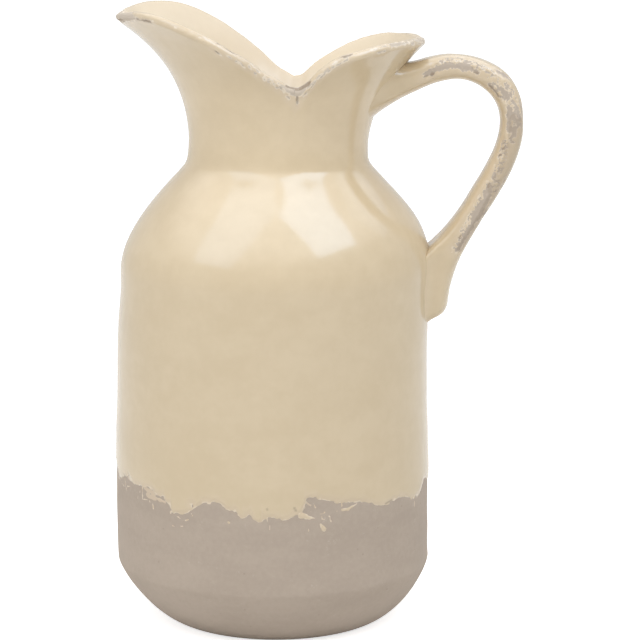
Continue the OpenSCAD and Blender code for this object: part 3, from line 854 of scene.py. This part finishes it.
def mouthRings(turn, rows, tips, height):
    # Up the outside, over the rim in a half round, and down the inside. Height raises the
    # face, and is one number or one for each point.
    def raised(first, count):
        return height[first:first + count] if np.ndim(height) else height
    rows = rows[:, None]
    beside = np.degrees(np.minimum(turn, 2 * np.pi - turn)) - mouth["notch"]
    swell = mouth["swell"] * np.exp(-(beside / mouth["swellWide"]) ** 2) * np.sin(np.pi * rows)
    clay = mouth["clay"] + (mouth["rim"] - mouth["clay"]) * rows + swell
    below = np.linspace(mouth["seat"], mouth["waist"], 11)[:-1, None]
    n, k, t = len(below), len(rows), len(tips)
    half = mouth["rim"] / 2 + raised(n + k, t)
    parts = [potPoint(turn, below, raised(0, n)), mouthPoint(turn, rows, -raised(n, k)),
             mouthPoint(turn, np.ones((t, 1)), mouth["rim"] / 2 - half * np.cos(tips[:, None]),
                        half * np.sin(tips[:, None])),
             mouthPoint(turn, rows[::-1], clay[::-1] + raised(n + k + t, k)),
             potPoint(turn, below[::-1], -mouth["clay"] - raised(n + 2 * k + t, n))]
    return np.concatenate(parts)


def makeCollar():
    turn = evenTurns(mouth["clayColumns"])[None, :]
    rows, tips = np.linspace(0, 1, 36), np.linspace(0, np.pi, 10)[1:-1]
    return meshFromRings("thrown_collar", mouthRings(turn, rows, tips, 0.0), bareClay, loop=True)


def makeCollarCoat():
    turn = evenTurns(mouth["columns"])[None, :]
    rows = np.concatenate([np.linspace(0, 0.86, 15), np.linspace(0.87, 1, 15)])
    tips = np.linspace(0, np.pi, 14)[1:-1]
    base = mouthRings(turn, rows, tips, coat["thick"])
    along = np.cumsum(np.linalg.norm(np.diff(base, axis=0, prepend=base[:1]), axis=2), axis=0)
    crest = (len(base) - 1) / 2
    across = along - (along[int(crest)] + along[math.ceil(crest)]) / 2      # above zero on the inside
    degrees = np.degrees(turn)
    wide, shift = (curveThrough(mouth["wear"], k, degrees) for k in (1, 2))
    margin = np.abs(across - shift) - wide + 0.15
    rough = roughness(base, mouth["rough"])
    margin = margin + rough * ease(9, 2, np.abs(across))
    scale = mouth["perDegree"]
    around = np.broadcast_to(degrees * scale, across.shape)
    margin = addMarks(margin, around, across, roundTheJug(mouth["nicks"], scale), bare=True)
    # Stains, and the painted shade of the crescent at the near notch
    stain = stainMask(around, across, roundTheJug(mouth["stains"], scale), rough)
    lap = pot["lap"] * ease(pot["seat"] + 1, pot["seat"] - 1, base[..., 2])
    outer = mouthRings(turn, rows, tips, coatHeight(margin, 0.0, base, coat["worn"]) - lap)
    thinRows, thinTips = np.linspace(0, 1, 7), np.linspace(0, np.pi, 5)[1:-1]
    inner = mouthRings(turn, thinRows, thinTips, -coat["under"])[::-1]
    inside = ease(0.5, 5.0, across)
    fromNotch = (np.abs(degrees - 180) - 90) / mouth["pooledWide"]
    pooled = mouth["pooled"] * inside * np.exp(-fromNotch ** 2)
    return coatMesh("collar_coat", mouthGlaze, outer, inner, margin, thin=pooled, stain=stain,
                    satin=inside)


# Handle: the strap's side outline with its coat, as an outer and an inner point in the plane of
# the handle, then half its width and how much its lower side spreads onto the wall
strap = {
    "rows": [[0, 60.0, 281.0, 45.5, 250.5, 23.0, 0], [1, 65.5, 281.2, 52.5, 256.9, 17.2, 0],
             [2, 71.0, 282.2, 61.5, 262.8, 14.2, 0], [3, 77.0, 283.9, 70.2, 267.2, 12.8, 0],
             [4, 84.0, 285.2, 79.5, 271.2, 11.8, 0], [5, 91.0, 285.3, 88.5, 273.2, 11.5, 0],
             [6, 98.5, 284.2, 95.0, 272.8, 11.4, 0], [7, 105.3, 282.0, 100.6, 270.6, 11.4, 0],
             [8, 111.6, 278.8, 105.0, 267.5, 11.4, 0], [9, 116.8, 274.3, 108.2, 264.2, 11.4, 0],
             [10, 120.5, 268.6, 110.5, 260.4, 11.4, 0], [11, 122.8, 262.0, 111.8, 256.5, 11.4, 0],
             [12, 123.8, 253.5, 112.3, 251.6, 11.4, 0], [13, 123.5, 244.5, 111.6, 245.6, 11.4, 0],
             [14, 121.7, 236.4, 109.6, 238.8, 11.4, 0], [15, 118.6, 228.4, 106.6, 232.2, 11.4, 0],
             [16, 114.7, 220.8, 103.2, 225.8, 11.4, 0], [17, 110.3, 213.2, 99.2, 219.2, 11.5, 0],
             [18, 105.2, 204.8, 94.4, 211.2, 11.7, 0], [19, 100.2, 196.7, 89.3, 203.9, 12.0, 0],
             [20, 95.9, 188.9, 84.4, 197.6, 12.5, 0.1], [21, 92.7, 182.2, 80.0, 192.2, 13.0, 0.5],
             [22, 90.3, 175.6, 75.5, 185.5, 13.3, 1.2], [23, 88.5, 169.2, 74.5, 173.5, 13.5, 1.8],
             [24, 87.6, 163.4, 74.0, 165.5, 13.6, 2.0], [25, 86.9, 159.2, 73.5, 159.0, 13.6, 2.0],
             [26, 85.0, 156.2, 73.5, 155.0, 13.4, 1.8], [27, 81.0, 154.0, 73.0, 152.4, 12.6, 1.4],
             [28, 77.2, 151.4, 73.0, 150.0, 10.5, 0.8], [29, 75.0, 149.4, 73.0, 148.6, 7.0, 0.0]],
    "square": 0.7, "skirt": 5.0, "tail": 20.0, "rootPart": 12.5, "narrow": 0.72,
    "step": 0.56, "sides": 112, "clayStep": 0.9, "claySides": 72,
    # Worn strokes: distance along the strap from its root, and round it from its near edge with
    # the outer face above zero, the same again, then the half width
    "patches": [[25, 0.8, 31, 0.9, 1.4], [30, 1.3, 36, 1.3, 1.5], [36, 1.3, 41, 1.2, 1.4],
                [41, 1.2, 47, 0.8, 1.4], [47, 0.6, 51, -0.6, 1.0], [23, 0.9, 29, -1.3, 0.6],
                [24, -1.5, 25, -0.8, 0.3], [44, 3.6, 49, 4.4, 0.5], [53, 2.7, 56, 2.0, 0.5],
                [59, -3.2, 68, -3.5, 0.5], [60, -1.1, 66, -0.7, 0.4], [65, -0.7, 71, 0.3, 1.7],
                [72, -1.1, 79, -0.6, 0.8], [79, -1.8, 87, -1.4, 1.3], [81, 0.6, 84, 2.8, 1.3],
                [73, 1.1, 77, 3.3, 1.1], [77, 2.2, 82, 3.6, 1.0], [84, 1.4, 89, 1.0, 1.0],
                [94, -3.3, 91, 0.0, 0.3], [97, -3.4, 95, -1.9, 0.3], [100, -2.4, 101, -1.4, 0.3],
                [106, -1.8, 107, -1.0, 0.5], [110, -1.4, 112, -0.8, 0.6], [116, -0.6, 121, 0.0, 1.2],
                [122, 1.2, 131, 1.9, 1.8], [130, 2.2, 139, 2.6, 2.1], [139, 2.4, 144, 2.8, 1.4],
                [147, 3.2, 152, 3.6, 0.6], [77, 7, 84, 9, 1.6], [60, 6, 64, 8, 1.2],
                [128, 6, 133, 9, 1.4], [112, 6, 116, 7, 1.0]],
    # Strokes where the coat has worn to a fine tracery
    "curly": [[27, 3.6, 35, 4.2, 1.0], [31, 4.9, 44, 4.6, 1.6], [44, 4.0, 52, 3.0, 1.8],
              [52, 2.6, 61, 0.7, 1.9], [60, -2.8, 68, -1.6, 2.0], [66, 2.8, 71, 3.1, 1.6],
              [73, 1.5, 85, 2.9, 2.4], [89, 0, 93, 0.5, 1.2], [94, -2.5, 104, -1.6, 1.8],
              [105, -1.0, 112, 0.4, 2.2], [114, 1.8, 119, 2.6, 1.5], [122, 0.6, 132, 1.2, 2.6],
              [132, 1.4, 143, 2.2, 2.8], [143, 2.2, 152, 3.0, 1.8]],
    "stains": [[28, -0.8, 29, -1.3, 0.5], [24, -0.9, 26, -0.8, 0.3], [49, -0.6, 51, -0.6, 0.5],
               [59, -3.2, 67, -3.9, 0.35], [94, -3.0, 91, -0.6, 0.35], [97, -2.6, 95, -1.9, 0.35],
               [116, -1.2, 118, -0.9, 0.35], [144, 0.4, 147, 1.1, 0.3], [101, -3.4, 100, -2.3, 0.3]],
    # Faint darker strokes: partly a thin coat, partly painted shade on the strap's outer half
    "thinAndShaded": [[82, 0.6, 98, 0.8, 2.4], [98, 1.0, 118, 1.8, 2.4], [84, 4.0, 118, 4.8, 2.2],
             [118, 4.0, 150, 5.2, 2.4]],
    "thinAndShadedStrength": 0.42,
    # Size, strength and seed of the noise along worn borders, of its lines and of the bumps
    "rough": [(2.6, 0.9, 61), (1.3, 0.6, 63)], "lines": (1.5, 3.5, 67), "bumps": [(16, 0.18, 71)],
    "farSide": 172.0,       # the far edge is worn the same way, from its other end
}


def strapLine(place, column):
    return curveThrough(strap["rows"], column, place)


def strapFaces(place):
    # The outer and the inner point of the side outline
    return [stack(strapLine(place, k), strapLine(place, k + 1)) for k in (1, 3)]


def evenPlaces(step):
    # Places in the table at even steps of the strap's middle line, and the distance to each
    place = np.linspace(0, strap["rows"][-1][0], 3001)
    outer, inner = strapFaces(place)
    length = lengthAlong((outer + inner) / 2)
    distance = np.linspace(0, length[-1], int(length[-1] / step))
    return np.interp(distance, length, place), distance


def strapThickness(place):
    outer, inner = strapFaces(place)
    return np.hypot(*(outer - inner).T)


def strapRings(place, height, first=0.0, last=1.0, narrow=1.0, sides=None):
    # A section is a squarish oval between the outer and the inner point, raised by a height.
    # Near the tail its lower side spreads like a bell and follows the round of the wall.
    # First and last are the shares of its thickness that the ring takes up.
    turn = np.linspace(0, 2 * np.pi, sides or strap["sides"], endpoint=False)[None, :]
    place = place[:, None]
    outer, inner = strapFaces(place)
    outer, inner = outer + (inner - outer) * first, outer + (inner - outer) * last
    full = np.linalg.norm(outer - inner, axis=-1)
    across = (outer - inner) / full[..., None]
    thick = np.maximum(full / 2 - coat["thick"] + height, 0.2)
    wide = np.maximum(strapLine(place, 5) * narrow - coat["thick"] + height, 0.2)
    cos, sin = np.cos(turn), np.sin(turn)
    up = np.sign(sin) * np.abs(sin) ** strap["square"]
    side = np.sign(cos) * np.abs(cos) ** strap["square"]
    low = np.clip((1 - up) / 2, 0, 1) ** strap["skirt"]
    y = -side * wide * (1 + strapLine(place, 6) * low)
    middle = (outer + inner) / 2
    wrap = ease(strap["tail"] - 1, strap["tail"] + 2, place) * y ** 2 / (2 * pot["wall"])
    wrap = wrap + ease(2.0, 0.0, place) * y ** 2 / (2 * pot["neck"])
    rim = up * thick
    return stack(middle[..., 0] + across[..., 0] * rim - wrap, y, middle[..., 1] + across[..., 1] * rim)


def makeStrap():
    place = evenPlaces(strap["clayStep"])[0]
    root = ease(4.5, 0.5, place)[:, None]
    last = 1 - root * np.maximum(0, 1 - strap["rootPart"] / strapThickness(place)[:, None])
    narrow = 1 - (1 - strap["narrow"]) * root
    rings = strapRings(place, 0.0, last=last[..., None], narrow=narrow, sides=strap["claySides"])
    return meshFromRings("pulled_strap", rings, bareClay)


# Clay under the strap's ends: its first and last place in the strap's table and its rings, how
# far it lies inside the strap's faces, and the shares of the thickness that it takes up
rootWad = {"places": (0.2, 3.6, 40), "within": 0.4, "lap": 1.5, "most": 0.86, "last": 0.97, "sides": 48}
tailWad = {"places": (21.4, 27.6, 60), "within": 0.5, "first": 0.45, "narrow": 0.85, "sides": 72}


def makeRootWad():
    # Between the strap's root and the inner outline, a little into the strap
    place = np.linspace(*rootWad["places"])
    first = np.clip((strap["rootPart"] - rootWad["lap"]) / strapThickness(place), 0, rootWad["most"])
    rings = strapRings(place, -rootWad["within"], first=first[:, None, None], last=rootWad["last"],
                       narrow=strap["narrow"], sides=rootWad["sides"])
    return meshFromRings("root_wad", rings, bareClay)


def makeTailWad():
    # Between the tail and the wall: the strap's own section there, cut off low
    rings = strapRings(np.linspace(*tailWad["places"]), -tailWad["within"], first=tailWad["first"],
                       narrow=tailWad["narrow"], sides=tailWad["sides"])
    return meshFromRings("tail_wad", rings, bareClay)


def roundStrap(rings):
    # Distance round each ring from the near edge, above zero towards the outer face
    steps = np.linalg.norm(np.roll(rings, -1, axis=1) - rings, axis=2)
    length = np.cumsum(steps, axis=1) - steps
    total = steps.sum(axis=1, keepdims=True)
    return np.where(length > total / 2, length - total, length), total / 2


def makeHandleCoat():
    place, distance = evenPlaces(strap["step"])
    base = strapRings(place, 0.0)
    edge, half = roundStrap(base)
    near = np.abs(edge) < half / 2
    edge = np.where(near, edge, np.sign(edge) * (half - np.abs(edge)))
    along = np.where(near, distance[:, None], strap["farSide"] - distance[:, None])
    rough = roughness(base, strap["rough"])
    plain = np.full(along.shape, 6.0)
    margin = addMarks(plain, along, edge, strap["patches"], bare=True) + rough
    curls = addMarks(plain, along, edge, strap["curly"], bare=True)
    size, strength, seed = strap["lines"]
    lines = strength * (np.abs(softNoise(base, size, seed)) - 0.2)
    margin = np.minimum(margin, np.maximum(curls + 0.5 * rough, lines))
    margin = margin + 8 * ease(24, 26, place)[:, None]
    # Darker strokes on the strap's outer half: partly thin coat, partly painted shade
    thinAndShaded = strap["thinAndShadedStrength"] * stainMask(along, edge, strap["thinAndShaded"], rough)
    stain = np.maximum(stainMask(along, edge, strap["stains"], rough), thinAndShaded)
    height = coatHeight(margin, 0.0, base, coat["worn"]) + roughness(base, strap["bumps"])
    outer = strapRings(place, np.maximum(height, coat["worn"]))
    inner = strapRings(np.linspace(place[-1], place[0], 80), -coat["under"])
    thin = np.zeros_like(margin)
    return coatMesh("handle_coat", strapGlaze, outer, inner, margin, thin=thin, stain=stain)


settle(makeBody(), "body")
settle(makeCollar(), "collar")
settle(makeStrap(), "handle")
settle(makeRootWad(), "upper_handle_wad")
settle(makeTailWad(), "lower_handle_wad")
settle(makeOuterCoat(), "outer_glaze")
settle(makeCollarCoat(), "collar_glaze")
settle(makeHandleCoat(), "handle_glaze")
settle(makeLiner(), "liner_glaze")
print("pieces made")


# Floor and light
room = {
    "floor": 12.0,
    "floorColour": (0.88, 0.88, 0.88, 1),
    "floorLift": 0.68,          # added where the floor is seen, so that it is white
    "floorGlossy": 0.4,         # share of that which the glaze reflects
    "ambient": 0.51,
    "white": 1.0,
    "reflected": 0.78,          # the level part of the room, as the glaze reflects it
    "overhead": 2.0,            # how much brighter the upper part is
    "overheadFrom": (0.42, 0.72),
    "windowColour": (0.44, 0.68, 1.0),
    "middle": (0.0, -0.06, 0.2),        # of the jug, where the lamps point
}
lamps = {
    # Towards the lamp from there, distance, width, height, watts, and whether it is a window
    # seen in the glaze or a light that only falls on it
    "farWindow": [(0.63, 0.43, 0.65), 1.7, 1.15, 0.75, 2.0, True],
    "leftWindow": [(-0.451, -0.352, 0.830), 1.7, 0.98, 1.65, 11.4, True],
    "rightWindow": [(0.453, -0.289, 0.848), 1.7, 0.97, 1.26, 19.8, True],
    "above": [(-0.10, -0.40, 0.97), 2.0, 1.6, 1.6, 18.0, False],
    "left": [(-0.78, -0.49, 0.40), 2.2, 1.8, 1.8, 11.4, False],
    "right": [(0.65, -0.37, 0.74), 2.2, 1.8, 1.8, 13.6, False],
}


def addFloor():
    half = room["floor"]
    mesh = bpy.data.meshes.new("floor")
    mesh.from_pydata([(-half, -half, 0), (half, -half, 0), (half, half, 0), (-half, half, 0)], [],
                     [(0, 1, 2, 3)])
    floor = bpy.data.objects.new("floor", mesh)
    bpy.context.scene.collection.objects.link(floor)
    material = bpy.data.materials.new("floor")
    material.use_nodes = True
    tree = material.node_tree
    tree.nodes.remove(tree.nodes["Principled BSDF"])
    diffuse = addNode(tree, "ShaderNodeBsdfDiffuse", {"Color": room["floorColour"]})
    rays = tree.nodes.new("ShaderNodeLightPath").outputs
    mirrored = times(tree, rays["Is Glossy Ray"], room["floorGlossy"])
    seen = maths(tree, "ADD", rays["Is Camera Ray"], mirrored)
    lift = addNode(tree, "ShaderNodeEmission", {"Strength": times(tree, seen, room["floorLift"])})
    total = addNode(tree, "ShaderNodeAddShader", {0: diffuse.outputs[0], 1: lift.outputs[0]})
    tree.links.new(total.outputs[0], tree.nodes["Material Output"].inputs["Surface"])
    mesh.materials.append(material)


def addWorld():
    world = bpy.data.worlds.new("studio")
    bpy.context.scene.world = world
    world.use_nodes = True
    tree = world.node_tree
    rays = tree.nodes.new("ShaderNodeLightPath").outputs
    seen = times(tree, rays["Is Camera Ray"], room["white"] - room["ambient"])
    glossy = times(tree, rays["Is Glossy Ray"], room["reflected"] - room["ambient"])
    strength = maths(tree, "ADD", room["ambient"], maths(tree, "ADD", seen, glossy))
    towards = tree.nodes.new("ShaderNodeTexCoord").outputs["Generated"]
    up = addNode(tree, "ShaderNodeSeparateXYZ", {0: towards}).outputs[2]
    overhead = times(tree, band(tree, up, *room["overheadFrom"]), rays["Is Glossy Ray"])
    strength = maths(tree, "ADD", strength, times(tree, overhead, room["overhead"]))
    tree.links.new(strength, tree.nodes["Background"].inputs["Strength"])
    tree.nodes["Background"].inputs["Color"].default_value = (1, 1, 1, 1)


def addLamp(name, towards, distance, wide, high, watts, window):
    data = bpy.data.lights.new(name, "AREA")
    data.shape = "RECTANGLE"
    data.size, data.size_y, data.energy = wide, high, watts
    if window:
        data.color = room["windowColour"]
    lamp = bpy.data.objects.new(name, data)
    bpy.context.scene.collection.objects.link(lamp)
    direction = mathutils.Vector(towards).normalized()
    lamp.location = mathutils.Vector(room["middle"]) + direction * distance
    lamp.rotation_euler = direction.to_track_quat("Z", "Y").to_euler()
    lamp.visible_glossy = window
    lamp.visible_diffuse = not window


addFloor()
addWorld()
for name, settings in lamps.items():
    addLamp(name, *settings)
print("floor and lamps placed")
